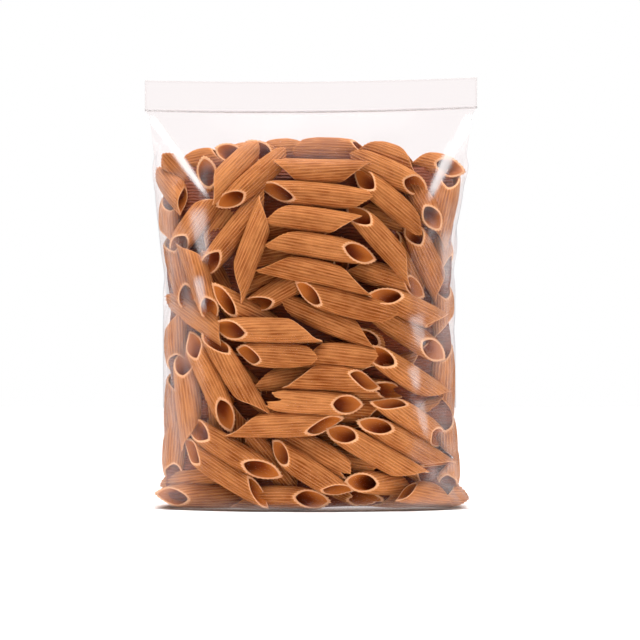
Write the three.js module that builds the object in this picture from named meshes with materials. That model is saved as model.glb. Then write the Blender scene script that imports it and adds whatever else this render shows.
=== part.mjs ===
// Clear press-seal bag of penne, standing upright on its own weight.
// Millimetres, +Z up, front of the pack towards -Y, origin at the bottom centre of the whole pack.
// The filled bag is one closed solid out to the film, and the flat closure band above it is another.
import * as THREE from 'three';

// Driving sizes
const layFlatWidth = 140; // width of the empty bag, kept by the closure band and by the bottom corners
const packHeight = 182; // table to the highest corner of the closure band
const bandHeight = 12.4; // flat lips above the press seal
const bandThickness = 1; // two lips and the seal profile between them
const bandGap = 0.3; // clearance between the band and the bag
const bodyWidth = 123.2; // drawn in by the filling
const bodyDepth = 51; // front film to back film at the fullest height
const footDepth = 38; // flat underside, front to back
const bodyShift = -0.8; // the filling leans a little to one side

// Slack in the top edge: it sags in the middle, and one end stands higher than the other
const edgeSag = 1.2;
const edgeTilt = 0.65;

// How the width and depth change with height
const cornerHeight = 12; // the pinched bottom corners stand out below this height
const cornerPower = 1.15;
const slump = { height: 16, reach: 17, swell: 1.6 }; // the filling settles wider near the foot
const topFlareHeight = 69; // towards the closure the film spreads out flat again
const topFlarePower = 1.1;
const footRadius = 8; // round edge between the underside and the film
const shoulderStart = 40; // above this the pack slims towards the band
const shoulderPower = 4.5;

// Section of the body: full across the front, with round sides. At the foot its ends are pinched,
// and in the flat head it is a lens.
const bodySection = { spread: 3.0, round: 0.7 };
const footSection = { spread: 2.2, round: 0.95 };
const headSection = { spread: 2.0, round: 1.0 };
const headStart = 138; // the section turns from the body's to the head's between these heights
const headEnd = 176;

const roundSegments = 60;
const heightSegments = 36;
const bandSegments = 28;

const halfFlat = layFlatWidth / 2;
const halfBody = bodyWidth / 2;
const bandBottom = packHeight - edgeTilt - bandHeight;
const bagTop = bandBottom - bandGap;

const clamp01 = (value) => Math.min(Math.max(value, 0), 1);

// Height of the slack top edge above or below its even line, from one end of the band to the other
function edgeLift(x) {
  const across = x / halfFlat;
  return edgeTilt * across - edgeSag * (1 - across * across);
}

// 1 at the table, where the corners are pinched, falling to 0 where the body is round
const cornerShare = (z) => Math.pow(clamp01(1 - z / cornerHeight), cornerPower);

// Half the width of the film: the lay-flat width at both ends, drawn in between
function halfWidth(z) {
  const body = halfBody + slump.swell * Math.exp(-(((z - slump.height) / slump.reach) ** 2));
  const top = Math.pow(clamp01(1 - (bagTop - z) / topFlareHeight), topFlarePower);
  return THREE.MathUtils.lerp(body, halfFlat, Math.max(cornerShare(z), top));
}

// Half the depth of the film: a round edge at the foot, a full body, and a slope up to the band
function halfDepth(z) {
  const rise = clamp01(z / footRadius);
  const foot = footDepth / 2 + ((bodyDepth - footDepth) / 2) * Math.sqrt(1 - (1 - rise) ** 2);
  const taper = 1 - Math.pow(clamp01((z - shoulderStart) / (bagTop - shoulderStart)), shoulderPower);
  return Math.max(foot * taper, bandThickness / 2);
}

// Depth of the section at one place across, as a share of the full half depth
function sectionDepth(across, z) {
  const corner = cornerShare(z);
  const head = clamp01((z - headStart) / (headEnd - headStart));
  const spread = bodySection.spread + corner * (footSection.spread - bodySection.spread)
    + head * (headSection.spread - bodySection.spread);
  const round = bodySection.round + corner * (footSection.round - bodySection.round)
    + head * (headSection.round - bodySection.round);
  return Math.pow(clamp01(1 - Math.pow(Math.abs(across), spread)), round);
}

// Rings are closer together at the foot and at the top, where the section changes fastest
const ringHeight = (share) => bagTop * (0.5 - 0.5 * Math.cos(Math.PI * share));

// The filled bag: a cylinder's rings carried out to the section at each height, closed by flat ends
function filledBag() {
  const geometry = new THREE.CylinderGeometry(1, 1, 1, roundSegments, heightSegments);
  geometry.rotateX(Math.PI / 2);
  const position = geometry.attributes.position;
  for (let i = 0; i < position.count; i += 1) {
    const across = position.getX(i);
    const share = position.getZ(i) + 0.5;
    const side = Math.sign(Math.round(position.getY(i) * roundSegments));
    const z = ringHeight(share);
    const x = halfWidth(z) * across + bodyShift * Math.sin(Math.PI * share);
    const y = halfDepth(z) * sectionDepth(across, z) * side;
    const lift = edgeLift(x) * (z / bagTop) ** 3;
    position.setXYZ(i, x, y, z + lift);
  }
  return geometry;
}

// The closure band: a flat strip that follows the slack top edge
function closureBand() {
  const geometry = new THREE.BoxGeometry(layFlatWidth, bandThickness, bandHeight, bandSegments, 1, 2);
  geometry.translate(0, 0, bandBottom + bandHeight / 2);
  const position = geometry.attributes.position;
  for (let i = 0; i < position.count; i += 1) {
    position.setZ(i, position.getZ(i) + edgeLift(position.getX(i)));
  }
  return geometry;
}

const pastaThroughFilm = new THREE.MeshStandardMaterial({ color: 0xc4834d, roughness: 0.45, metalness: 0 });
const clearFilm = new THREE.MeshStandardMaterial({
  color: 0xf7f4f5,
  roughness: 0.12,
  metalness: 0,
  transparent: true,
  opacity: 0.3,
});

const bag = new THREE.Mesh(filledBag(), pastaThroughFilm);
bag.name = 'bag';

const band = new THREE.Mesh(closureBand(), clearFilm);
band.name = 'closure_band';

const pack = new THREE.Group();
pack.add(bag, band);

export default pack;
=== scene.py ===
import math

import bmesh
import bpy
import numpy as np
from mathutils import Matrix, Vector


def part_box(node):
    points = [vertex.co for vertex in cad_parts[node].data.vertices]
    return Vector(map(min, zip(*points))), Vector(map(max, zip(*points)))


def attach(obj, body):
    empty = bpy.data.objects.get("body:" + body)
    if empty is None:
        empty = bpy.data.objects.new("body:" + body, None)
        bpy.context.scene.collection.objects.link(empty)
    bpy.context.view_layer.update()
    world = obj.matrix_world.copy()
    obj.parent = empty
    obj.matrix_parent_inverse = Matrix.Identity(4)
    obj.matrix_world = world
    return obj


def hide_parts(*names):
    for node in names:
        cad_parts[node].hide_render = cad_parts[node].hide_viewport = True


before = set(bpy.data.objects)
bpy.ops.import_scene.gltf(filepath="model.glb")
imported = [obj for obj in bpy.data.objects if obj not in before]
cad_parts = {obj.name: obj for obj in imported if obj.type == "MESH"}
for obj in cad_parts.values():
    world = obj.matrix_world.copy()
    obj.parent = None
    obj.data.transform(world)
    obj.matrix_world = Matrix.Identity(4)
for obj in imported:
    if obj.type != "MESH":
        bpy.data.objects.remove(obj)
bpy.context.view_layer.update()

# ----------------------------------------------------------
# The stage: a white floor, white surroundings and a straight-on camera a little above the bag's
# middle. Soft boxes hang above the front and the back, and a tall strip stands on each side.
# ----------------------------------------------------------
MM = 0.001


def look_at(thing, place, target):
    """Puts a camera or lamp at place and turns its -Z axis towards target."""
    thing.location = place
    thing.rotation_euler = (Vector(target) - Vector(place)).to_track_quat("-Z", "Y").to_euler()


view_centre = Vector((3.8 * MM, 0, 79.7 * MM))
view_width = 269.9 * MM
camera_distance = 1.4
camera_rise = math.radians(0.7)
camera_data = bpy.data.cameras.new("camera")
camera_data.lens = camera_data.sensor_width * camera_distance / view_width
camera_data.dof.use_dof = False
camera = bpy.data.objects.new("camera", camera_data)
bpy.context.collection.objects.link(camera)
look_at(
    camera,
    view_centre + camera_distance * Vector((0, -math.cos(camera_rise), math.sin(camera_rise))),
    view_centre,
)
bpy.context.scene.camera = camera
bpy.context.scene.view_settings.view_transform = "Standard"
bpy.context.scene.cycles.transparent_max_bounces = 24


def soft_box(name, place, target, width, height, power, only_gloss=False):
    """A rectangular lamp. With only_gloss it shows in reflections and lights nothing."""
    data = bpy.data.lights.new(name, "AREA")
    data.shape = "RECTANGLE"
    data.size = width
    data.size_y = height
    data.energy = power
    lamp = bpy.data.objects.new(name, data)
    bpy.context.collection.objects.link(lamp)
    look_at(lamp, place, target)
    lamp.visible_diffuse = not only_gloss
    lamp.visible_camera = False
    return lamp


bag_middle = (0, 0, 0.08)
soft_box("front_box", (-0.45, -0.85, 0.95), bag_middle, 0.9, 0.7, 3.3)
soft_box("front_fill", (0.75, -0.95, 0.45), bag_middle, 0.7, 0.9, 1.8)
soft_box("top_box", (-0.1, -0.15, 1.2), bag_middle, 0.8, 0.8, 18.5)
soft_box("back_box", (0.45, 0.95, 0.8), bag_middle, 0.8, 0.7, 7)
strip_turn = math.radians(58)
for side in (-1, 1):
    soft_box(
        "strip_left" if side < 0 else "strip_right",
        (side * math.sin(strip_turn), -math.cos(strip_turn), 0.32),
        bag_middle, 0.16, 0.9, 12, only_gloss=True,
    )


class Wire:
    """One output of a shader node. Arithmetic on wires and numbers adds Math nodes beside it."""

    def __init__(self, tree, socket=None):
        self.tree = tree
        self.socket = socket

    def node(self, kind, settings=None, links=None, out=0):
        """Adds a node of that kind, gives it its settings, then its values or links by socket."""
        made = self.tree.nodes.new(kind)
        for name, value in (settings or {}).items():
            if name == "stops":
                ramp = made.color_ramp
                while len(ramp.elements) < len(value):
                    ramp.elements.new(0.5)
                for stop, (place, colour) in zip(ramp.elements, value):
                    stop.position = place
                    stop.color = (*colour, 1)
            else:
                setattr(made, name, value)
        for name, value in (links or {}).items():
            if isinstance(value, Wire):
                self.tree.links.new(value.socket, made.inputs[name])
            else:
                made.inputs[name].default_value = value
        return Wire(self.tree, made.outputs[out])

    def maths(self, operation, *values, clamp=False):
        links = dict(enumerate(values))
        return self.node("ShaderNodeMath", {"operation": operation, "use_clamp": clamp}, links)

    def __add__(self, other):
        return self.maths("ADD", self, other)

    def __radd__(self, other):
        return self.maths("ADD", other, self)

    def __sub__(self, other):
        return self.maths("SUBTRACT", self, other)

    def __rsub__(self, other):
        return self.maths("SUBTRACT", other, self)

    def __mul__(self, other):
        return self.maths("MULTIPLY", self, other)

    def __rmul__(self, other):
        return self.maths("MULTIPLY", other, self)

    def __truediv__(self, other):
        return self.maths("DIVIDE", self, other)

    def __pow__(self, other):
        return self.maths("POWER", self, other)

    def step(self, low, high):
        """0 below low, 1 above high, and a smooth rise between them."""
        return self.node(
            "ShaderNodeMapRange",
            {"interpolation_type": "SMOOTHSTEP"},
            {"Value": self, "From Min": low, "From Max": high},
        )

    def blend(self, first, second):
        """The first colour where this wire is 0 and the second where it is 1."""
        return self.node("ShaderNodeMix", {"data_type": "RGBA"}, {0: self, 6: first, 7: second}, 2)

    def mix(self, first, second):
        """The first shader where this wire is 0 and the second where it is 1."""
        return self.node("ShaderNodeMixShader", links={0: self, 1: first, 2: second})

    def noise(self, scale, detail):
        """Soft noise over the place or map that this wire holds."""
        return self.node(
            "ShaderNodeTexNoise", links={"Vector": self, "Scale": scale, "Detail": detail}
        )


def new_material(name):
    """An empty node material, with a Wire that starts its tree and the socket of its surface."""
    made = bpy.data.materials.new(name)
    made.use_nodes = True
    made.node_tree.nodes.clear()
    output = made.node_tree.nodes.new("ShaderNodeOutputMaterial")
    return made, Wire(made.node_tree), output.inputs["Surface"]


def linear(red, green, blue):
    """A colour given as 0 to 255 on a screen, as the light it stands for."""
    shares = np.array((red, green, blue)) / 255
    light = np.where(shares <= 0.04045, shares / 12.92, ((shares + 0.055) / 1.055) ** 2.4)
    return (*light.tolist(), 1)


def make_piece(name, points, faces, material, smooth=True):
    """A mesh object at the origin from an (n, 3) array in millimetres and an (m, 4) face array."""
    mesh = bpy.data.meshes.new(name)
    mesh.from_pydata((points * MM).tolist(), [], faces.tolist())
    mesh.materials.append(material)
    mesh.polygons.foreach_set("use_smooth", np.full(len(faces), smooth))
    mesh.update()
    piece = bpy.data.objects.new(name, mesh)
    bpy.context.collection.objects.link(piece)
    return piece


floor_reach = 1100
floor_corners = np.array([(-1, -1, 0), (1, -1, 0), (1, 1, 0), (-1, 1, 0)]) * floor_reach
floor_material, start, surface = new_material("white_floor")
paper_grain = start.node("ShaderNodeTexNoise", links={"Scale": 40.0})
paper = start.node(
    "ShaderNodeBsdfPrincipled",
    links={
        "Base Color": paper_grain.blend((0.93, 0.925, 0.92, 1), (0.95, 0.945, 0.94, 1)),
        "Roughness": 0.9,
        "Emission Color": (1.0, 0.995, 0.99, 1),
        "Emission Strength": 0.35,
    },
)
floor_material.node_tree.links.new(paper.socket, surface)
floor = make_piece("floor", floor_corners, np.array([(0, 1, 2, 3)]), floor_material, smooth=False)

world = bpy.data.worlds.new("white_studio")
bpy.context.scene.world = world
world.use_nodes = True
world.node_tree.nodes.clear()
sky = Wire(world.node_tree)
seen = sky.node("ShaderNodeBackground", links={"Color": (1, 1, 1, 1), "Strength": 1.0})
lit = sky.node("ShaderNodeBackground", links={"Color": (1, 1, 1, 1), "Strength": 0.3})
from_camera = sky.node("ShaderNodeLightPath")
around = from_camera.mix(lit, seen)
world_output = world.node_tree.nodes.new("ShaderNodeOutputWorld")
world.node_tree.links.new(around.socket, world_output.inputs["Surface"])

# ----------------------------------------------------------
# The shape of the filled bag. It is a flat tube of film, full in the lower part, that narrows
# to a line under the closure band. The filling and the film both follow these functions.
# ----------------------------------------------------------
bag_low, bag_high = (np.array(corner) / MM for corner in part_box("bag"))
half_flat = (bag_high[0] - bag_low[0]) / 2
edge_tilt = 0.65
edge_sag = 1.2
bag_top = bag_high[2] - edge_tilt
half_full = 0.88 * half_flat
full_depth = (bag_high[1] - bag_low[1]) / 2
foot_depth = 19.0
foot_radius = 8.0
head_depth = 0.5
corner_height = 12.0
corner_power = 1.15
slump_height = 16
slump_reach = 17
slump_swell = 1.6
lean_left = 0.8
flare_height = 69.0
flare_power = 1.1
shoulder_start = 40.0
shoulder_power = 4.5
flat_head = (138.0, 176.0)
heap_high = 157.0
heap_drop = 8.0
heap_drop_at = 60


def corner_share(z):
    """1 at the floor, falling to 0 above the pinched corners: (1 - z / height)^power."""
    return np.clip(1 - z / corner_height, 0, 1) ** corner_power


def half_width(z):
    """Full width, swollen near the foot by a bell curve, and flaring to the flat width at both
    ends, by (1 - (top - z) / flare height)^power at the upper one."""
    slumped = half_full + slump_swell * np.exp(-(((z - slump_height) / slump_reach) ** 2))
    flare = np.clip(1 - (bag_top - z) / flare_height, 0, 1) ** flare_power
    return slumped + (half_flat - slumped) * np.maximum(corner_share(z), flare)


def half_depth(z):
    """A quarter round at the foot, an even body, and a shoulder that thins by a power of height."""
    rise = np.sqrt(1 - (1 - np.clip(z / foot_radius, 0, 1)) ** 2)
    foot = foot_depth + (full_depth - foot_depth) * rise
    above = np.clip((z - shoulder_start) / (bag_top - shoulder_start), 0, 1)
    return np.maximum(foot * (1 - above**shoulder_power), head_depth)


def slump_shift(z):
    """The filling leans a little to the left, most at mid-height: a half sine wave."""
    return -lean_left * np.sin(np.pi * np.clip(z / bag_top, 0, 1))


def heap_limit(x):
    """The highest that the filling reaches, lower by x^2 towards the sides."""
    return heap_high - heap_drop * (x / heap_drop_at) ** 2


def section_powers(z):
    """Spread and roundness of the section: 3 and 0.7 in the full body, and lens-like at the
    foot's corners, 2.2 and 0.95, and in the flat head, 2 and 1."""
    head = np.clip((z - flat_head[0]) / (flat_head[1] - flat_head[0]), 0, 1)
    return 3.0 - 0.8 * corner_share(z) - 1.0 * head, 0.7 + 0.25 * corner_share(z) + 0.3 * head


def section_depth(across, z):
    """Depth of the section as a share of half_depth: (1 - |across|^spread)^roundness."""
    spread, roundness = section_powers(z)
    return np.clip(1 - np.abs(across) ** spread, 0, 1) ** roundness


# ----------------------------------------------------------
# The penne: wholewheat tubes about 10.5 mm across with fine ridges, extruded through a bronze
# die and cut on the slant. They lie as they fell, pressed flat against the film at the front.
# ----------------------------------------------------------
tube_radius = 5.25
tube_wall = 1.25
usual_length = 43.0

# Each front piece, in millimetres and degrees: where its middle lies across and up,
# how far its right end is turned up, how far its right end leans back, how many pieces lie in
# front of it, which way its left and right cuts face (0 at the viewer, 90 up, 180 away), and
# its length from tip to tip.
front_pieces = [
    # the ladder down the middle
    (10.5, 151.8, 3, 0, 0.4, 170, 60, 35),
    (-13.5, 150.5, 26, 0, 1.5, 90, 170, 25),
    (4, 150.5, 4, 0, 2.4, 60, 45, 30),
    (3.5, 142, -1, 0, 0, -95, -95, 40.5),
    (2, 131.5, -5, 0, 0, -35, -155, 45),
    (0, 121.5, -8, 0, 0, 130, -95, 38),
    (4.5, 110.5, -11, 0, 0, 135, 20, 44),
    (2, 98, -12, 0, 0, 115, 95, 46),
    (15, 87.5, -15, 0, 0, -40, -160, 42),
    (8, 79.5, -22, 0, 0.8, -150, 110, 43),
    (-18, 76, -1, 0, 0, -15, 95, 44),
    (-14, 65.5, -2, 0, 0, -30, 170, 32),
    (11, 65, -3, 0, 0.4, 100, -170, 32),
    (8.5, 54.5, -3, 0, 0, 90, 35, 38),
    (-3, 55.5, 4, 0, 0.9, 150, 0, 40),
    (15, 42.5, -12, 0, 0.5, 25, -60, 38),
    (-11, 36, 0, 0, 0, 95, -40, 46),
    # upper left
    (-43.5, 147.5, -3, 0, 1.1, 150, 90, 24),
    (-52.5, 140, -66, 0, 1.3, 180, 10, 27),
    (-58.5, 135, -68, 0, 0.3, 180, 95, 22),
    (-44.5, 134, -88, 62, 1.0, 0, 90, 34),
    (-27.5, 148.3, -28, 45, 1.4, 20, 90, 29),
    (-31, 153.5, -14, 0, 2.5, 60, 180, 18),
    (-16.0, 146.5, -55, 48, 1.2, 10, 90, 26),
    (-34.0, 142.0, 55, 0, 0.35, 100, -160, 30),
    (-23.8, 138.6, 40, 0, 0, -25, -160, 35),
    (-48.5, 119.5, 56, 0, 0.5, 0, 90, 32),
    (-37, 122, 47, 0, 0.9, 60, 120, 40),
    (-33, 116, 52, -6, 0, 0, -150, 43),
    (-25, 110, 70, 0, 0, 95, -95, 42),
    (-15, 124, 12, 0, 2.0, 30, 150, 40),
    (-58.5, 121, 84, 0, 0.9, 90, 0, 24),
    # middle left
    (-55, 101, -75, 0, 0.3, 0, 15, 34),
    (-46, 96, -76, 0, 0.3, 90, 0, 34),
    (-37, 91, -56, 0, 0.9, 180, 90, 38),
    (-47, 80, -33, 0, 0.4, 180, 120, 33),
    (-10, 93.5, 30, 0, 0.9, -35, 180, 40),
    (-58, 72, 88, 0, 1.0, 0, 90, 28),
    # lower left
    (-42.5, 54.5, -64, 0, 0, -15, 10, 44),
    (-32, 57.5, -61, 0, 0, 40, -95, 42),
    (-53, 47, -78, 0, 0.2, -10, 90, 40),
    (-60, 43, -88, 0, 0.9, 30, 90, 26),
    (-34.5, 26, -32, 0, 0, -8, -20, 45),
    (-35, 15.5, -36, 0, 0, -30, 60, 45),
    (-45.5, 5.2, -3, 0, 0.0, -16, 90, 43),
    (-47, 14.5, 8, 0, 0.9, 170, 90, 32),
    (-59, 24, 86, 0, 0.6, 0, 160, 26),
    # the foot
    (-0.5, 17.5, -33, 0, 0, -30, -45, 38),
    (27.5, 24.5, -32, 0, 0, 20, -90, 44),
    (40, 27.5, -32, 0, 0, 35, -60, 46),
    (43, 38, -37, 0, 0, 65, 10, 38),
    (30, 11.5, -8, 50, 0.3, 0, 90, 34),
    (49, 7.5, -14, 0, 0, 95, 95, 27),
    (-13, 5, 1, 0, 0.5, 90, 15, 40),
    (41, 5, -2, 0, 0.8, 10, 90, 38),
    (-15.5, 17, -54, 0, 0.6, 180, 95, 36),
    (61.5, 5.5, -30, 0, 0.5, 90, 180, 15),
    (60.5, 13, 80, 20, 0.5, 0, 90, 17),
    # right
    (33, 148.0, -16, 0, 1.0, 160, 90, 26),
    (32.5, 141.0, -28, 0, 0.1, 180, 0, 33),
    (46, 128.5, -52, 0, 0.7, 180, 0, 24),
    (37, 136, -40, 0, 1.2, 180, 0, 22),
    (33, 131, -42, 0, 0, -8, 150, 36),
    (30, 112, -50, 0, 0.3, 15, 90, 40),
    (40, 102.5, -57, 0, 0.2, 5, 90, 36),
    (49.5, 105, -63, 0, 0.4, 5, 90, 34),
    (33, 122, -18, 0, 1.0, 120, 90, 34),
    (55.5, 128, 68, 0, 0.3, 90, 5, 34),
    (52, 146, -2, 0, 0.9, 90, 10, 24),
    (32, 152.5, 3, 0, 2.3, 60, 120, 26),
    (54.5, 111, -78, 0, 0.5, 60, 90, 30),
    (31, 98.5, -18, 0, 0.7, 90, 30, 36),
    (42, 85, -24, 0, 0.0, 40, -50, 37),
    (40, 75, -34, 0, 0.3, 180, 8, 38),
    (41, 57, -32, 0, 0, 10, -92, 42),
    (29, 70, -20, 55, 1.0, 0, 90, 36),
    (57.5, 86, -85, 0, 0.9, 20, 90, 26),
    (57.5, 57, 87, 0, 0.8, 90, 0, 32),
    (58.5, 31, 84, 0, 0.8, 90, 0, 22),
]
# The same for pieces with a broken end: the last number is the side that is broken.
chipped_pieces = [
    (1, 45.5, -3, 0, 0.4, 170, 0, 40, -1),
    (2, 24.5, -32, 0, 0.15, 180, 150, 38, 1),
    (18, 50, -2, 0, 0.7, 90, 10, 42, 1),
]
# The layers out of sight, each as the side of the bag (-1 front, 1 back), how many pieces lie
# between it and the film, and its number of pieces.
hidden_layers = ((-1, 1.0, 24), (1, 1.0, 22), (1, 0.0, 44))
hidden_chipped = 8
hidden_seed = 21
hidden_high = 152
hidden_lean = 0.12
layer_step = 9.5
end_cap = 8.0
least_reach = 1.5

rng = np.random.default_rng(hidden_seed)
by_hand = np.array([row + (0,) for row in front_pieces] + chipped_pieces, float)
hand_count = len(by_hand)
hidden_count = sum(layer[2] for layer in hidden_layers)
piece_count = hand_count + hidden_count
middle_x, middle_z, turn, lean, row, left_face, right_face, length, broken = by_hand.T
loose_length = usual_length + rng.uniform(-3.5, 2.5, hidden_count)
loose_broken = np.where(np.arange(hidden_count) < hidden_chipped, 1, 0)
length = np.concatenate([length, loose_length])
broken = np.concatenate([broken, loose_broken])
left_face = np.concatenate([left_face, rng.uniform(-180, 180, hidden_count)])
right_face = np.concatenate([right_face, rng.uniform(-180, 180, hidden_count)])


def closest_approach(first, second):
    """Where two rods pass closest: clamped shares of their lengths, from the normal equations,
    and the vector from the second rod's point to the first's."""
    u = first[:, 1] - first[:, 0]
    v = second[:, 1] - second[:, 0]
    gap = first[:, 0] - second[:, 0]
    uu = np.einsum("ij,ij->i", u, u)
    vv = np.einsum("ij,ij->i", v, v)
    uv = np.einsum("ij,ij->i", u, v)
    ug = np.einsum("ij,ij->i", u, gap)
    vg = np.einsum("ij,ij->i", v, gap)
    s = np.clip((uv * vg - ug * vv) / np.maximum(uu * vv - uv * uv, 1e-6), 0, 1)
    t = np.clip((uv * s + vg) / vv, 0, 1)
    s = np.clip((uv * t - ug) / uu, 0, 1)
    return s, t, first[:, 0] + s[:, None] * u - (second[:, 0] + t[:, None] * v)


def unit(vectors):
    """The vectors at length one."""
    return vectors / np.linalg.norm(vectors, axis=1, keepdims=True)


def spread_to_ends(push, share):
    """A push at a share of a rod as pushes on its ends that move that point just as far."""
    weights = np.stack([1 - share, share], 1)
    weights = weights / (weights**2).sum(1, keepdims=True)
    return push[:, None, :] * weights[:, :, None]


def direction(turn, lean):
    """The unit vector turned up from +X by turn and leaning back towards +Y by lean."""
    return np.stack(
        [np.cos(turn) * np.cos(lean), np.sin(lean), np.sin(turn) * np.cos(lean)], -1
    )


def film_distance(x, z, side, behind):
    """Depth of a tube's axis in a layer: at the film less the tube's radius and the layers."""
    depth = half_depth(z) * section_depth(x / half_width(z), z)
    return side * (np.maximum(depth - tube_radius, 0) - behind * layer_step)


# Packing: each tube is a rod with a round body, held by its two ends.
rod_reach = np.maximum(length / 2 - end_cap, least_reach)
hand_axis = direction(np.radians(turn), np.radians(lean))
hand_y = film_distance(middle_x, middle_z, -1, row)
hand_y += np.abs(np.sin(np.radians(lean))) * rod_reach[:hand_count]
hand_centre = np.stack([middle_x, hand_y, middle_z], 1)
hand_reach = hand_axis * rod_reach[:hand_count, None]
ends = np.stack([hand_centre - hand_reach, hand_centre + hand_reach], 1)

# Every hidden piece is the best of many random ones: the one that lies furthest from the rest.
tries = 60
for side, behind, number in hidden_layers:
    for _ in range(number):
        reach = rod_reach[len(ends)]
        try_axis = direction(
            rng.uniform(-math.pi / 2, math.pi / 2, tries), rng.normal(0, hidden_lean, tries)
        )
        try_z = rng.uniform(tube_radius, hidden_high, tries)
        try_x = rng.uniform(-1, 1, tries) * (half_full - tube_radius)
        try_y = film_distance(try_x, try_z, side, behind)
        try_centre = np.stack([try_x, try_y, try_z], 1)
        try_ends = np.stack([try_centre - try_axis * reach, try_centre + try_axis * reach], 1)
        outside = np.maximum(np.abs(try_ends[:, :, 0]) + tube_radius - half_full, 0).max(1)
        outside += np.maximum(tube_radius - try_ends[:, :, 2], 0).max(1)
        outside += np.maximum(try_ends[:, :, 2] + tube_radius - hidden_high, 0).max(1)
        first = np.repeat(try_ends, len(ends), 0)
        second = np.tile(ends, (tries, 1, 1))
        apart = closest_approach(first, second)[2]
        gaps = np.linalg.norm(apart, axis=1).reshape(tries, -1)
        best = (gaps.min(1) - 2 * outside).argmax()
        ends = np.concatenate([ends, try_ends[best : best + 1]])

axis = unit(ends[:, 1] - ends[:, 0])
wanted = ends[:hand_count].copy()


def cross_frame(axis, depth):
    """Two directions across each tube: towards the film on its own side, and up from there."""
    towards_film = np.zeros_like(axis)
    towards_film[:, 1] = np.where(depth > 0, 1.0, -1.0)
    towards_film[:hand_count, 1] = -1
    outward = unit(towards_film - axis * (towards_film * axis).sum(1, keepdims=True))
    return outward, np.cross(outward, axis)


# The tubes grow to full size, push each other apart and stay inside the film. Those listed
# give way less and are drawn back to their places, and the hidden ones sink a little. A push
# is a share of an overlap, and a hold is a share of the way back.
cut_faces = np.radians(np.stack([left_face, right_face], 1))
packing_steps = 1500
growth_steps = 700
closing_steps = 150
relist_steps = 10
fade_share = 0.8
first_size = 0.55
growth = 0.45
front_ease = 0.35
neighbour_reach = 4
tube_push = 0.45
closing_tube_push = 0.2
film_push = 0.6
closing_film_push = 0.9
sink = 0.03
least_hold = 0.08
early_hold = 0.22
depth_hold = 0.02
film_gap = 0.25
side_slack = 2
tip_slack = 4
tip_overhang = 1.0
# The spots of a tube that stay inside: the share of its rod, the part of its radius that is kept
# clear, and which cut end's tip it is, or -1 for a spot on the rod.
inside_spots = ((0, 1, -1), (0.5, 1, -1), (1, 1, -1), (0, 0.1, 0), (1, 0.1, 1))
ease = np.concatenate([np.full(hand_count, front_ease), np.ones(hidden_count)])
for step in range(packing_steps):
    grown = min(1.0, first_size + growth * step / growth_steps)
    closing = step > packing_steps - closing_steps
    if step % relist_steps == 0:
        middles = ends.mean(1)
        one, two = np.triu_indices(piece_count, 1)
        reach = rod_reach[one] + rod_reach[two] + 2 * tube_radius + neighbour_reach
        close = ((middles[one] - middles[two]) ** 2).sum(1) < reach**2
        one, two = one[close], two[close]
    s, t, apart = closest_approach(ends[one], ends[two])
    distance = np.maximum(np.linalg.norm(apart, axis=1), 1e-6)
    overlap = np.maximum(2 * tube_radius * grown - distance, 0) / distance
    share_one = ease[one] / (ease[one] + ease[two])
    push = (closing_tube_push if closing else tube_push) * apart * overlap[:, None]
    change = np.zeros_like(ends)
    np.add.at(change, one, spread_to_ends(push * share_one[:, None], s))
    np.add.at(change, two, spread_to_ends(-push * (1 - share_one)[:, None], t))
    ends += change

    fade = max(0.0, 1 - step / (fade_share * packing_steps))
    ends[hand_count:, :, 2] -= sink * fade
    drift = wanted - ends[:hand_count]
    hold = least_hold + early_hold * fade
    ends[:hand_count, :, 0] += hold * drift[:, :, 0]
    ends[:hand_count, :, 2] += hold * drift[:, :, 2]
    ends[:hand_count, :, 1] += depth_hold * drift[:, :, 1]

    outward, upward = cross_frame(axis, ends[:, :, 1].mean(1))
    for share, stand_off, end in inside_spots:
        spot = ends[:, 0] * (1 - share) + ends[:, 1] * share
        share = np.full(piece_count, float(share))
        if end >= 0:
            tip = cut_faces[:, end] + math.pi
            side = 2 * end - 1
            spot = spot + (side * (length / 2 - rod_reach + tip_overhang))[:, None] * axis
            spot = spot + tube_radius * np.cos(tip)[:, None] * outward
            spot = spot + tube_radius * np.sin(tip)[:, None] * upward
            share = share + side * 0.5 * (length / 2 - rod_reach) / rod_reach
        room = stand_off * tube_radius + film_gap
        z = np.maximum(spot[:, 2], room)
        z = np.minimum(z, heap_limit(spot[:, 0]) - room)
        slack = tip_slack * (1 - stand_off)
        wide = np.minimum(half_width(z), half_full + slack + side_slack) - room
        deep = np.maximum(half_depth(z) - room, 0.3)
        x = np.clip(spot[:, 0], slump_shift(z) - wide, slump_shift(z) + wide)
        y_limit = np.maximum(deep * section_depth((x - slump_shift(z)) / wide, z), 0.2)
        y = np.clip(spot[:, 1], -y_limit, y_limit)
        push = np.stack([x, y, z], 1) - spot
        ends += spread_to_ends((closing_film_push if closing else film_push) * push, share)

    middles = ends.mean(1, keepdims=True)
    axis = unit(ends[:, 1] - ends[:, 0])
    ends = middles + np.stack([-axis, axis], 1) * rod_reach[:, None, None]

# A hidden piece that still cuts deep into another one is left out.
most_cut = 2.2
one, two = np.triu_indices(piece_count, 1)
apart = closest_approach(ends[one], ends[two])[2]
cuts = 2 * tube_radius - np.linalg.norm(apart, axis=1)
kept = np.ones(piece_count, bool)
for pair in np.argsort(-cuts):
    if cuts[pair] > most_cut and kept[one[pair]] and kept[two[pair]] and two[pair] >= hand_count:
        kept[two[pair]] = False
centre = ends.mean(1)
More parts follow.
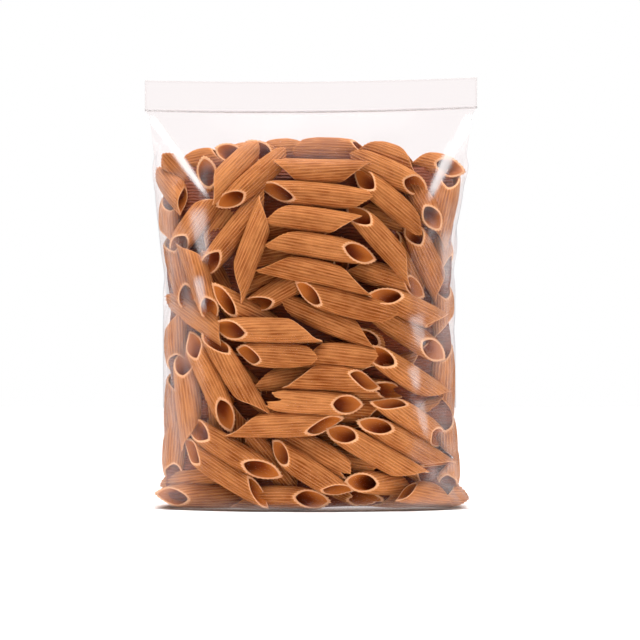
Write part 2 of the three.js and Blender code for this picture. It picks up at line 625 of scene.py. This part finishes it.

# Each tube's own small differences. The listed ones are never the darkest.
outward, upward = cross_frame(axis, centre[:, 1])
radius = tube_radius * rng.uniform(0.965, 1.01, piece_count)
slant = rng.uniform(1.05, 1.35, (piece_count, 2))
slant[:, 0] *= np.clip(length / usual_length, 0.7, 1)
slant[:, 1] *= np.clip(length / usual_length, 0.7, 1)
bow = rng.normal(0, 0.45, piece_count)
bow_way = rng.uniform(0, 2 * math.pi, piece_count)
twist = rng.normal(0, 0.12, piece_count)
squash = rng.uniform(-0.01, 0.05, piece_count)
ridge_start = rng.uniform(0, 2 * math.pi, piece_count)
tone = rng.uniform(0, 1, piece_count)
least_front_tone = 0.35
tone[:hand_count] = least_front_tone + (1 - least_front_tone) * tone[:hand_count]
chip_place = rng.uniform(-0.9, 0.9, piece_count)
chip_depth = rng.uniform(4.0, 7.5, piece_count)

ridge_count = 24
steps_per_ridge = 3
steps_round = ridge_count * steps_per_ridge
ridge_depth = 0.4
groove_share = np.array([0.0, 0.9, 0.9])
tip_point = 0.34
tip_spread = 0.95
heel_share = 0.6
side_pinch = 0.17
flat_pinch = 0.08
pinch_start = 0.35
rim_bulge = 0.25
notch_spread = 0.75
# Rings of one tube: along the outside, over the cut rim, back along the inside, over the rim.
ring_along = np.array(
    [-1, -0.97, -0.86, -0.7, -0.45, 0, 0.45, 0.7, 0.86, 0.97, 1, 1, 1, 0, -1, -1]
)
ring_wall = np.array([0, 0, 0, 0, 0, 0, 0, 0, 0, 0, 0, 0.5, 1, 1, 1, 0.5])
outer_rings = 11


def tube_points(pick):
    """Points of the picked tubes, shape (tubes, rings, steps round, 3). A point lies at radius
    r and angle a about the axis. The outside is r = radius less a groove between ridges,
    and the inside is one wall less. Both cuts are planes, so a ring's place along the axis is
    plus or minus (half length + slant * r * cos(a - tip side)), shared out over the rings, with
    a point drawn out at the tip and in at the heel, and a chip takes a notch out of one end.
    Towards each cut the blade has squeezed the tube narrower. The axis bows by a parabola."""

    def own(values):
        """The picked tubes' values, ready to spread over rings and steps."""
        return values[pick, None, None]

    a = np.arange(steps_round) / steps_round * 2 * math.pi
    groove = ridge_depth * groove_share[np.arange(steps_round) % steps_per_ridge]
    outer = radius[pick, None] - groove
    inner = (radius[pick] - tube_wall)[:, None] + 0 * groove
    inward = ring_wall[None, :, None]
    r = outer[:, None, :] * (1 - inward) + inner[:, None, :] * inward
    angle = a[None, None, :] + own(ridge_start)
    angle = angle + own(twist) * ring_along[None, :, None]
    tip_side = cut_faces[pick] + math.pi
    mean_half = length[pick] / 2 - slant[pick].mean(1) * radius[pick]
    reach = []
    for end in (0, 1):
        off_tip = np.abs(np.angle(np.exp(1j * (angle - tip_side[:, end, None, None]))))
        point_out = np.clip(1 - off_tip / tip_spread, 0, 1) ** 1.5
        point_in = np.clip(1 - (math.pi - off_tip) / tip_spread, 0, 1) ** 1.5
        away = np.cos(off_tip) + tip_point * (point_out - heel_share * point_in)
        reach_end = mean_half[:, None, None] + own(slant[:, end]) * r * away
        hit = own(broken) == (-1, 1)[end]
        notch = np.abs(np.angle(np.exp(1j * (angle - own(chip_place)))))
        bite = np.clip(1 - notch / notch_spread, 0, 1) * (1 + 0.25 * np.sin(9 * angle))
        ragged = 0.35 * np.sin(5 * angle) + 0.25 * np.sin(11 * angle + 1)
        uneven = 0.22 * np.sin(3 * angle + 9 * own(tone))
        reach.append(reach_end + uneven - hit * (own(chip_depth) * bite + ragged))
    share = (ring_along[None, :, None] + 1) / 2
    along = -reach[0] * (1 - share) + reach[1] * share
    rim = (np.abs(ring_along) == 1) & (ring_wall == 0.5)
    along = along + rim_bulge * (rim * ring_along)[None, :, None]
    out_part = r * np.cos(angle)
    up_part = r * np.sin(angle)
    for end, side in ((0, -1), (1, 1)):
        near_end = np.clip((side * ring_along - pinch_start) / (1 - pinch_start), 0, 1)
        near_end = near_end[None, :, None] ** 1.6
        face = own(cut_faces[:, end])
        forward = out_part * np.cos(face) + up_part * np.sin(face)
        sideways = up_part * np.cos(face) - out_part * np.sin(face)
        forward = forward * (1 - flat_pinch * near_end)
        sideways = sideways * (1 - side_pinch * near_end)
        out_part = forward * np.cos(face) - sideways * np.sin(face)
        up_part = forward * np.sin(face) + sideways * np.cos(face)
    out_part = out_part * (1 - own(squash))
    up_part = up_part * (1 + own(squash))
    bend = own(bow) * (1 - (along / 20) ** 2)
    out_part = out_part + bend * np.cos(own(bow_way))
    up_part = up_part + bend * np.sin(own(bow_way))
    points = (
        centre[pick, None, None, :]
        + along[..., None] * axis[pick, None, None, :]
        + out_part[..., None] * outward[pick, None, None, :]
        + up_part[..., None] * upward[pick, None, None, :]
    )
    points[..., 2] = np.maximum(points[..., 2], film_gap)
    return points, along, reach


def ring_faces(rings, steps, joined=False):
    """Four-sided faces between neighbouring rings of points, each ring closed on itself. With
    joined, the last ring meets the first one."""
    ring, spot = np.meshgrid(np.arange(rings - 1 + joined), np.arange(steps), indexing="ij")
    next_ring = (ring + 1) % rings
    beyond = (spot + 1) % steps
    corners = [
        ring * steps + spot,
        ring * steps + beyond,
        next_ring * steps + beyond,
        next_ring * steps + spot,
    ]
    return np.stack(corners, -1).reshape(-1, 4)


def tube_faces(count):
    """The faces of count tubes, closed both ways and turned outward."""
    rings = len(ring_along)
    first_tube = ring_faces(rings, steps_round, joined=True)[:, [0, 3, 2, 1]]
    starts = np.arange(count)[:, None, None] * rings * steps_round
    return (first_tube[None, :, :] + starts).reshape(-1, 4)


penne_material, start, surface = new_material("wholewheat_pasta")
wall_share = start.node("ShaderNodeAttribute", {"attribute_name": "wall"}, out=2)
piece_tone = start.node("ShaderNodeAttribute", {"attribute_name": "tone"}, out=2)
from_cut = start.node("ShaderNodeAttribute", {"attribute_name": "from_cut"}, out=2)
in_groove = start.node("ShaderNodeAttribute", {"attribute_name": "groove"}, out=2)
unrolled = start.node("ShaderNodeTexCoord", out="UV")
place = start.node("ShaderNodeTexCoord", out="Object")
streaks = start.node("ShaderNodeMapping", links={"Vector": unrolled, "Scale": (1.9, 0.09, 1.0)})
streak = streaks.noise(1.0, 4.0)
mottle = place.noise(160.0, 3.0)
cloud = place.noise(45.0, 1.0)
patches = start.node("ShaderNodeMapping", links={"Vector": unrolled, "Scale": (0.55, 0.12, 1.0)})
patch = patches.noise(1.0, 2.0)
bran_cells = start.node("ShaderNodeMapping", links={"Vector": unrolled, "Scale": (1.3, 0.8, 1.0)})
bran = start.node("ShaderNodeTexVoronoi", links={"Vector": bran_cells, "Scale": 1.0})
bran_fleck = 1 - bran.step(0.1, 0.24)
grain = (streak - 0.5) * 1.1 + (mottle - 0.5) * 0.6 + 0.5
outer_dark = linear(128, 62, 12)
outer_pale = linear(207, 138, 80)
# Painted shade: the outer wall is darker in the grooves between the ridges, more in some patches.
groove_painted_shade = in_groove * (0.26 + 0.22 * patch.step(0.35, 0.65))
outer_tone = grain * 0.8 + (piece_tone - 0.5) * 0.4 + (cloud - 0.5) * 0.5 + 0.29 - groove_painted_shade
outside = outer_tone.step(0, 1).blend(outer_dark, outer_pale)
flecked = (bran_fleck * 0.35).blend(outside, linear(118, 52, 8))
# Paler near each cut: partly flour at the cut and partly a painted highlight along the cut edge.
near_rim = 1 - from_cut.step(0.0, 1.1)
cut_dust_and_edge_highlight = (near_rim * 0.45).blend(flecked, linear(214, 140, 76))
# Painted shade: the inside of a tube grows darker deeper in from its cut.
inside_painted_shade = from_cut.step(0.0, 9.0)
inside = inside_painted_shade.blend(linear(186, 106, 42), linear(122, 48, 1))
rim_grain = (mottle - 0.5) * 1.2 + 0.5
rim_colour = rim_grain.step(0, 1).blend(linear(214, 152, 104), linear(240, 190, 144))
walls = wall_share.step(0.97, 0.999).blend(cut_dust_and_edge_highlight, inside)
on_rim = wall_share.step(0.02, 0.12) * (1 - wall_share.step(0.8, 0.98))
colour = on_rim.blend(walls, rim_colour)
relief = streak * 0.6 + mottle * 0.5
bump = start.node("ShaderNodeBump", links={"Strength": 0.35, "Distance": 0.0002, "Height": relief})
pasta = start.node(
    "ShaderNodeBsdfPrincipled",
    links={
        "Base Color": colour,
        "Roughness": 0.6 + 0.12 * (mottle - 0.5),
        "Specular IOR Level": 0.08,
        "Normal": bump,
    },
)
penne_material.node_tree.links.new(pasta.socket, surface)


map_spread = 900


def mark(piece, label, values):
    """Gives each point of the piece a number that its material reads by that label."""
    layer = piece.data.attributes.new(label, "FLOAT", "POINT")
    layer.data.foreach_set("value", values.astype(np.float32).ravel())


def make_tubes(name, pick):
    """One piece that joins the picked tubes, with its marks and its unrolled map: millimetres
    round and along the tube, each tube moved to its own part of the pattern."""
    points, along, reach = tube_points(pick)
    piece = make_piece(name, points.reshape(-1, 3), tube_faces(len(pick)), penne_material)
    size = along.shape
    grooves = groove_share[np.arange(steps_round) % steps_per_ridge]
    mark(piece, "wall", np.broadcast_to(ring_wall[None, :, None], size))
    mark(piece, "from_cut", np.minimum(reach[1] - along, along + reach[0]))
    mark(piece, "tone", np.broadcast_to(tone[pick, None, None], size))
    mark(piece, "groove", np.broadcast_to(grooves[None, None, :], size))
    spot = np.arange(steps_round + 1) / steps_round * 2 * math.pi * tube_radius
    own_part = tone[pick, None, None] * map_spread
    left = np.broadcast_to(spot[None, None, :-1], size) + own_part
    right = np.broadcast_to(spot[None, None, 1:], size) + own_part
    ahead = np.roll(along, -1, axis=1)
    beside = np.roll(along, -1, axis=2)
    corner = np.roll(ahead, -1, axis=2)
    across_map = np.stack([left, left, right, right], 3)
    along_map = np.stack([along, ahead, corner, beside], 3)
    map_points = np.stack([across_map, along_map], -1)
    unrolled_map = piece.data.uv_layers.new(name="unrolled")
    unrolled_map.data.foreach_set("uv", map_points.astype(np.float32).ravel())
    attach(piece, "root")
    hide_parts("bag")
    return points


long_from = 41.0
short_from = 33.0
whole = kept & (broken == 0)
kinds = {
    "penne": whole & (length >= long_from),
    "short_penne": whole & (length < long_from) & (length >= short_from),
    "stub_penne": whole & (length < short_from),
    "chipped_penne": kept & (broken != 0),
}
outer_skins = [make_tubes(name, np.flatnonzero(chosen)) for name, chosen in kinds.items()]

# ----------------------------------------------------------
# The core: the penne in the very middle, which nobody sees, as one lumpy slab of pasta, coloured
# dark as painted shade. It lies a tube or more behind the front and the back film and closes the
# gaps between the pieces.
# ----------------------------------------------------------
core_inset = 2.5
core_half_depth = 7.0
core_clearance = 1.0
core_least = 0.6
core_low = 0.5
core_high = 146.0
core_end_power = 14
core_foot_thinning = 0.75
core_foot_reach = 14
lump_depth = 0.16
core_rows = 70
core_steps = 120


def core_points():
    """A slab, shape (rows, steps, 3), at height share v from -1 to 1 and angle a round it. Its
    size is (1 - |v|^14)^(1/14). Across, x is the bag's width times |cos a|^0.6. In depth, y is the
    lesser of the slab's own depth times |sin a|^0.6, thinned by a bell curve at the foot, and the
    film's depth less one tube, times |sin a|^0.2. Crossed sine waves add lumps."""
    v = np.linspace(-1, 1, core_rows)[:, None]
    a = (np.arange(core_steps) / core_steps * 2 * math.pi)[None, :]
    size = np.clip(1 - np.abs(v) ** core_end_power, 0, 1) ** (1 / core_end_power)
    z = (core_low + core_high) / 2 + (core_high - core_low) / 2 * v + 0 * a
    widest = np.minimum(half_width(z), half_full + side_slack) - core_inset
    x = widest * size * np.sign(np.cos(a)) * np.abs(np.cos(a)) ** 0.6 + slump_shift(z)
    behind_layer = half_depth(z) * section_depth((x - slump_shift(z)) / half_width(z), z)
    behind_layer = np.maximum(behind_layer - 2 * tube_radius - core_clearance, core_least)
    deepest = core_half_depth * (1 - core_foot_thinning * np.exp(-((z / core_foot_reach) ** 2)))
    y = np.minimum(deepest * np.abs(np.sin(a)) ** 0.6, behind_layer * np.abs(np.sin(a)) ** 0.2)
    y = y * size * np.sign(np.sin(a))
    lumps = np.sin(x / 5.1 + z / 9.0) * np.sin(z / 4.3 - x / 11.0) + 0.6 * np.sin(z / 3.1 + x / 3.7)
    y = y * (1 + lump_depth * lumps)
    x = x + 0.8 * np.sin(z / 4.9) * size * np.cos(a)
    return np.stack([x, y, z], -1)


core_material, start, surface = new_material("pasta_in_shadow")
place = start.node("ShaderNodeTexCoord", out="Object")
core_cloud = place.noise(90.0, 3.0)
core_grain = start.node(
    "ShaderNodeTexWave",
    {"wave_type": "BANDS", "bands_direction": "Z"},
    {"Vector": place, "Scale": 240.0, "Distortion": 3.0},
)
core_tone = ((core_cloud - 0.5) * 1.4 + (core_grain - 0.5) * 0.3 + 0.5).step(0, 1)
# Painted shade: the core is coloured darker than the penne, so that the gaps between them look
# shaded.
core_painted_shade_colour = core_tone.blend(linear(108, 38, 0), linear(144, 66, 8))
core_bump = start.node(
    "ShaderNodeBump", links={"Strength": 0.5, "Distance": 0.0008, "Height": core_grain}
)
core_body = start.node(
    "ShaderNodeBsdfPrincipled",
    links={"Base Color": core_painted_shade_colour, "Roughness": 0.7, "Normal": core_bump},
)
core_material.node_tree.links.new(core_body.socket, surface)
core_faces = ring_faces(core_rows, core_steps)
core = make_piece("heap_core", core_points().reshape(-1, 3), core_faces, core_material)


def close_up(piece, reach=0.00001):
    """Merges points closer than reach, such as those of a pole, and turns all faces outward."""
    skin = bmesh.new()
    skin.from_mesh(piece.data)
    bmesh.ops.remove_doubles(skin, verts=skin.verts, dist=reach)
    bmesh.ops.recalc_face_normals(skin, faces=skin.faces)
    skin.to_mesh(piece.data)
    skin.free()


close_up(core)
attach(core, "root")
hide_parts("bag")

# ----------------------------------------------------------
# The film: clear polyethylene, a tube folded flat and welded across the bottom. It is drawn
# tight over the penne, pinched into two flat corners at the foot and creased at the shoulders.
# ----------------------------------------------------------
round_steps = 288
height_steps = 150
foot_rings = 5
film_thickness = 0.1
film_clearance = 0.5
rise_share = np.linspace(0, 1, height_steps + 1)
film_z = bag_top * (rise_share - 0.3 * np.sin(2 * math.pi * rise_share) / (2 * math.pi))
round_angle = np.arange(round_steps) / round_steps * 2 * math.pi
across = np.cos(round_angle)
front_or_back = np.where(np.sin(round_angle) > 0, -1.0, 1.0)
halvings = 22


def outward_share(points):
    """How far out each point lies, as the scale k at which the section passes through it:
    |y / (depth k)|^(1/roundness) + |x / (width k)|^spread = 1, found by halving the interval."""
    x = points[:, 0] - slump_shift(points[:, 2])
    wide = np.abs(x) / half_width(points[:, 2])
    deep = np.abs(points[:, 1]) / half_depth(points[:, 2])
    spread, roundness = section_powers(points[:, 2])
    low = np.full(len(points), 0.02)
    high = np.full(len(points), 4.0)
    for _ in range(halvings):
        middle = (low + high) / 2
        outside = (deep / middle) ** (1 / roundness) + (wide / middle) ** spread > 1
        low = np.where(outside, middle, low)
        high = np.where(outside, high, middle)
    return high


# Where the tubes press outwards: samples along every tube, gathered on the film's own grid and
# spread to the points beside them. At the side edges the film may not swell.
pressed = np.zeros((height_steps + 1, round_steps))
for skin in outer_skins:
    outside = skin[:, :outer_rings, ::3]
    for share in np.arange(0, 1, 0.125):
        samples = outside[:, :-1] * (1 - share) + outside[:, 1:] * share
        samples = samples.reshape(-1, 3)
        samples = samples[(samples[:, 2] > 0) & (samples[:, 2] < bag_top)]
        out = outward_share(samples)
        sideways = (samples[:, 0] - slump_shift(samples[:, 2])) / (half_width(samples[:, 2]) * out)
        turned = np.arccos(np.clip(sideways, -1, 1))
        turned = np.where(samples[:, 1] < 0, turned, 2 * math.pi - turned)
        column = np.round(turned / (2 * math.pi) * round_steps).astype(int) % round_steps
        ring = np.clip(np.searchsorted(film_z, samples[:, 2]), 0, height_steps)
        np.maximum.at(pressed, (ring, column), out + film_clearance / full_depth)
for _ in range(2):
    beside = np.maximum(np.roll(pressed, 1, 1), np.roll(pressed, -1, 1))
    pressed = np.maximum(pressed, beside)
    pressed[1:-1] = np.maximum(pressed[1:-1], np.maximum(pressed[:-2], pressed[2:]))
most_swell = 1.0 + 0.05 * np.clip((0.97 - np.abs(across)) / 0.15, 0, 1)
held = np.minimum(pressed, most_swell[None, :])


def evened(swell):
    """The mean of each point's neighbours, those beside it and those above and below it."""
    even = (np.roll(swell, 1, 1) + np.roll(swell, -1, 1)) / 2
    even[1:-1] = 0.5 * even[1:-1] + 0.25 * (swell[:-2] + swell[2:])
    return even


# The film settles: it is evened out, pulled in a little, and held off by the tubes. Its last
# few passes take the sharp marks of single ridges out of it.
swell = np.ones((height_steps + 1, round_steps))
least_swell = 0.975
settle_steps = 160
settle_pull = 0.0006
last_passes = 4
for _ in range(settle_steps):
    swell = np.maximum(evened(swell) - settle_pull, least_swell)
    swell[0] = 1
    swell[-1] = 1
    swell = np.maximum(swell, held)
for _ in range(last_passes):
    swell = evened(swell)


def edge_lift(x):
    """The bag's top edge is slack: it tips to the right and sags in the middle."""
    share = x / half_flat
    return edge_tilt * share - edge_sag * (1 - share**2)


def fold(x, z, start, end, height, width):
    """A crease along a line, used for the fold's height and for its whitening and painted
    highlight:
    height times exp(-(off the line / width)^4), fading at its ends and narrowing to 0.4 of its
    width towards its lower end."""
    run = np.array(end) - np.array(start)
    reach = np.hypot(*run)
    along = ((x - start[0]) * run[0] + (z - start[1]) * run[1]) / reach**2
    off = ((x - start[0]) * run[1] - (z - start[1]) * run[0]) / reach
    fade = np.clip(along * 6, 0, 1) * np.clip((1 - along) * 4, 0, 1)
    narrowed = width * (1 - 0.6 * np.clip(along, 0, 1) ** 2)
    return height * fade * np.exp(-((off / narrowed) ** 4))


zz = np.repeat(film_z[:, None], round_steps, 1)
film_x = half_width(zz) * across[None, :] * swell + slump_shift(zz)
film_y = half_depth(zz) * section_depth(across[None, :], zz) * swell
is_front = front_or_back[None, :] < 0

# Folds run down from the upper corners, where the flat closure turns into the full bag, and soft
# creases follow further down where the film bends round the penne. Each has its upper and lower
# end, across and up, its width, and how white it is painted: partly the whitening of creased film
# and partly a painted highlight, the reflection of the side strips.
film_folds_and_highlights = [
    ((-68.5, 167.0), (-53.0, 147.0), 1.6, 0.6),
    ((-58.5, 153.5), (-42.5, 131.0), 1.7, 0.55),
    ((-47.5, 128.0), (-44.0, 103.0), 3.4, 0.2),
    ((-47.0, 99.0), (-44.5, 83.0), 2.0, 0.25),
    ((68.5, 166.5), (57.0, 146.0), 2.4, 0.7),
    ((61.0, 155.0), (48.5, 129.0), 2.5, 0.5),
    ((57.5, 118.0), (57.0, 92.0), 3.0, 0.18),
    ((43.5, 83.0), (46.5, 67.0), 3.0, 0.16),
    ((42.5, 61.0), (44.5, 50.0), 2.4, 0.18),
    ((45.0, 47.0), (48.5, 30.0), 2.0, 0.16),
]
folds_and_highlights = np.zeros_like(film_x)
for start_point, end_point, width, white in film_folds_and_highlights:
    folds_and_highlights = np.maximum(folds_and_highlights, fold(film_x, zz, start_point, end_point, white, width))
folds_and_highlights = folds_and_highlights * is_front
creases = 0.5 * folds_and_highlights

# The flat head ripples a little.
wave_start = 118
wave_rise = 30
wave_fall = 10
wave_share = np.clip((zz - wave_start) / wave_rise, 0, 1)
wave_share *= np.clip((bag_top - zz) / wave_fall, 0, 1)
waves = wave_share * (
    0.3 * np.sin(film_x / 9.5 + zz / 21 + 2.2 * is_front)
    + 0.2 * np.sin(film_x / 5.1 - zz / 13 + 4.0 * is_front)
)
thin_edge = np.clip(film_y / 2.0, 0, 1)
film_y = (film_y + thin_edge * (creases + waves)) * front_or_back[None, :]
film_height = zz + edge_lift(film_x) * (zz / bag_top) ** 3
wall_points = np.stack([film_x, film_y, film_height], -1)
foot_share = (1 - np.arange(foot_rings, 0, -1) / foot_rings)[:, None]
under_points = np.stack(
    [
        np.repeat(film_x[:1], foot_rings, 0),
        film_y[:1] * foot_share,
        np.zeros((foot_rings, round_steps)),
    ],
    -1,
)
film_points = np.concatenate([under_points, wall_points])
film_faces = ring_faces(len(film_points), round_steps)

# Clear where it is seen square on, smoky seen edgewise, milky at the sides with scuffed haze and
# painted sheen, white along the folds as creased film and painted highlight, and darker along the
# foot as painted shade.
film_material, start, surface = new_material("clear_film")
facing = start.node("ShaderNodeLayerWeight", links={"Blend": 0.5}, out=1)
fold_and_highlight_mark = start.node("ShaderNodeAttribute", {"attribute_name": "fold"}, out=2)
place = start.node("ShaderNodeTexCoord", out="Object")
ripple = place.noise(70.0, 1.0)
scuff = place.noise(30.0, 3.0)
clear = start.node("ShaderNodeBsdfTransparent", links={"Color": (0.9935, 0.979, 0.979, 1)})
smoky = start.node("ShaderNodeBsdfTransparent", links={"Color": (0.84, 0.83, 0.84, 1)})
edgewise = ((facing**3) * 0.9).mix(clear, smoky)
# Painted shade along the foot, and a faint darkening of the lips' hem, both read from one mark.
foot_shade_and_hem_mark = start.node("ShaderNodeAttribute", {"attribute_name": "weld"}, out=2)
weld = start.node("ShaderNodeBsdfTransparent", links={"Color": (0.3, 0.2, 0.14, 1)})
through = foot_shade_and_hem_mark.mix(edgewise, weld)
film_bump = start.node(
    "ShaderNodeBump", links={"Strength": 0.12, "Distance": 0.0006, "Height": ripple}
)
shine = start.node(
    "ShaderNodeBsdfGlossy",
    links={"Color": (1, 1, 1, 1), "Roughness": 0.1, "Normal": film_bump},
)
# Partly haze of scuffed film and partly painted sheen: a pale layer where the film turns away at
# the sides.
haze_and_painted_sheen = start.node("ShaderNodeBsdfDiffuse", links={"Color": (0.93, 0.90, 0.90, 1)})
haze_and_sheen_share = facing.step(0.04, 0.5) * (1 - facing.step(0.45, 0.75)) * (0.02 + 0.15 * scuff)
with_haze_and_sheen = haze_and_sheen_share.mix(through, haze_and_painted_sheen)
# Painted highlight: white along the folds, partly creased film and partly the side strips'
# reflection.
fold_white_and_painted_highlight = start.node("ShaderNodeBsdfDiffuse", links={"Color": (0.99, 0.97, 0.97, 1)})
creased_and_highlighted = (fold_and_highlight_mark * 0.72).mix(with_haze_and_sheen, fold_white_and_painted_highlight)
mirror_share = (0.001 + 0.2 * facing**5) * (1 - foot_shade_and_hem_mark)
shining = mirror_share.mix(creased_and_highlighted, shine)
# Light on its way to the penne meets a clear sheet, so that the film casts no shadow on them.
shadow_ray = start.node("ShaderNodeLightPath", out="Is Shadow Ray")
let_light_in = start.node("ShaderNodeBsdfTransparent", links={"Color": (0.985, 0.975, 0.97, 1)})
film_look = shadow_ray.mix(shining, let_light_in)
film_material.node_tree.links.new(film_look.socket, surface)


def give_thickness(piece):
    """Gives a sheet of film its wall, on the inner side of its faces."""
    wall = piece.modifiers.new("thickness", "SOLIDIFY")
    wall.thickness = film_thickness * MM
    wall.offset = -1


# Painted shade along the foot: a dark line where the bag meets the floor, which fades out before
# the corners.
foot_shade_height = 2.1
foot_shade_fade = 1.1
foot_shade_half_width = 67
foot_shade_end_fade = 8
foot_painted_shade = 0.9 * np.clip((foot_shade_height - zz) / foot_shade_fade, 0, 1)
foot_painted_shade *= np.clip((foot_shade_half_width - np.abs(film_x)) / foot_shade_end_fade, 0, 1)
unmarked = np.zeros((foot_rings, round_steps))
film = make_piece("film", film_points.reshape(-1, 3), film_faces, film_material)
mark(film, "fold", np.concatenate([unmarked, folds_and_highlights]))
mark(film, "weld", np.concatenate([unmarked, foot_painted_shade]))
close_up(film)
give_thickness(film)
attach(film, "root")
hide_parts("bag")

# ----------------------------------------------------------
# The closure: two flat lips of the same film above a press seal, a bead along the front lip
# snapped into a groove along the back one. It keeps the full flat width of the bag.
# ----------------------------------------------------------
band_high = np.array(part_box("closure_band")[1]) / MM
band_foot = bag_top + 0.05
lip_height = band_high[2] - edge_tilt - band_foot
lip_gap = 0.5
lip_spread = 0.25
lip_columns = 120
lip_rows = 12
lip_across = np.linspace(-1, 1, lip_columns + 1)
lip_up = np.linspace(0, 1, lip_rows + 1)
lip_x, lip_rise = np.meshgrid(lip_across * half_flat, lip_up, indexing="xy")
lip_z = band_foot + lip_rise * lip_height + edge_lift(lip_x)
lip_wave = 0.3 * np.sin(lip_x / 21) * lip_rise + 0.15 * np.sin(lip_x / 9.3 + 1) * lip_rise**2


def sheet_faces(rows, columns):
    """Four-sided faces of a grid that has one point more than rows and columns each way."""
    up, along = np.meshgrid(np.arange(rows), np.arange(columns), indexing="ij")
    corner = up * (columns + 1) + along
    corners = [corner, corner + 1, corner + columns + 2, corner + columns + 1]
    return np.stack(corners, -1).reshape(-1, 4)


lip_points = []
for side in (-1, 1):
    lip_y = side * lip_gap / 2 + lip_wave + side * lip_spread * lip_rise
    lip_points.append(np.stack([lip_x, lip_y, lip_z], -1).reshape(-1, 3))
front_faces = sheet_faces(lip_rows, lip_columns)
back_faces = front_faces[:, ::-1] + len(lip_points[0])
lip_faces = np.concatenate([front_faces, back_faces])
lips = make_piece("closure_lips", np.concatenate(lip_points), lip_faces, film_material)

# The lips' cut edges: a narrow hem at the top and the sides, given a faint share of the foot's dark
# mark.
hem_width = 0.9
hem_share = 0.04
near_top = np.clip(1 - (1 - lip_rise) * lip_height / hem_width, 0, 1)
near_side = np.clip(1 - (half_flat - np.abs(lip_x)) / hem_width, 0, 1)
mark(lips, "weld", np.tile(hem_share * np.maximum(near_top, near_side).ravel(), 2))
give_thickness(lips)
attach(lips, "root")
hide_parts("closure_band")

# The press seal: a bar right across the foot of the lips. Its section is an ellipse, carried along
# the slack line of the top edge.
bar_steps = 16
bar_columns = 140
seal_half_thick = 0.75
seal_half_high = 0.5
seal_material, start, surface = new_material("press_seal")
facing = start.node("ShaderNodeLayerWeight", links={"Blend": 0.5}, out=1)
place = start.node("ShaderNodeTexCoord", out="Object")
seal_cloud = place.noise(60.0, 2.0)
seal_clear = start.node("ShaderNodeBsdfTransparent", links={"Color": (0.955, 0.95, 0.95, 1)})
seal_body = start.node("ShaderNodeBsdfDiffuse", links={"Color": (0.56, 0.53, 0.53, 1)})
seal_share = 0.5 + 0.1 * facing + 0.1 * seal_cloud
seal_look = seal_share.mix(seal_clear, seal_body)
seal_material.node_tree.links.new(seal_look.socket, surface)

bar_angle = np.arange(bar_steps) / bar_steps * 2 * math.pi
bar_x = np.repeat(np.linspace(-half_flat, half_flat, bar_columns + 1)[:, None], bar_steps, 1)
bar_y = np.repeat(seal_half_thick * np.cos(bar_angle)[None, :], bar_columns + 1, 0)
bar_z = band_foot + edge_lift(bar_x) + seal_half_high * np.sin(bar_angle)[None, :]
bar_points = np.stack([bar_x, bar_y, bar_z], -1).reshape(-1, 3)
bar_faces = ring_faces(bar_columns + 1, bar_steps)
seal = make_piece("press_seal", bar_points, bar_faces, seal_material)
ends_shut = bmesh.new()
ends_shut.from_mesh(seal.data)
bmesh.ops.holes_fill(ends_shut, edges=ends_shut.edges, sides=bar_steps)
ends_shut.to_mesh(seal.data)
ends_shut.free()
close_up(seal)
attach(seal, "root")
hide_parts("closure_band")
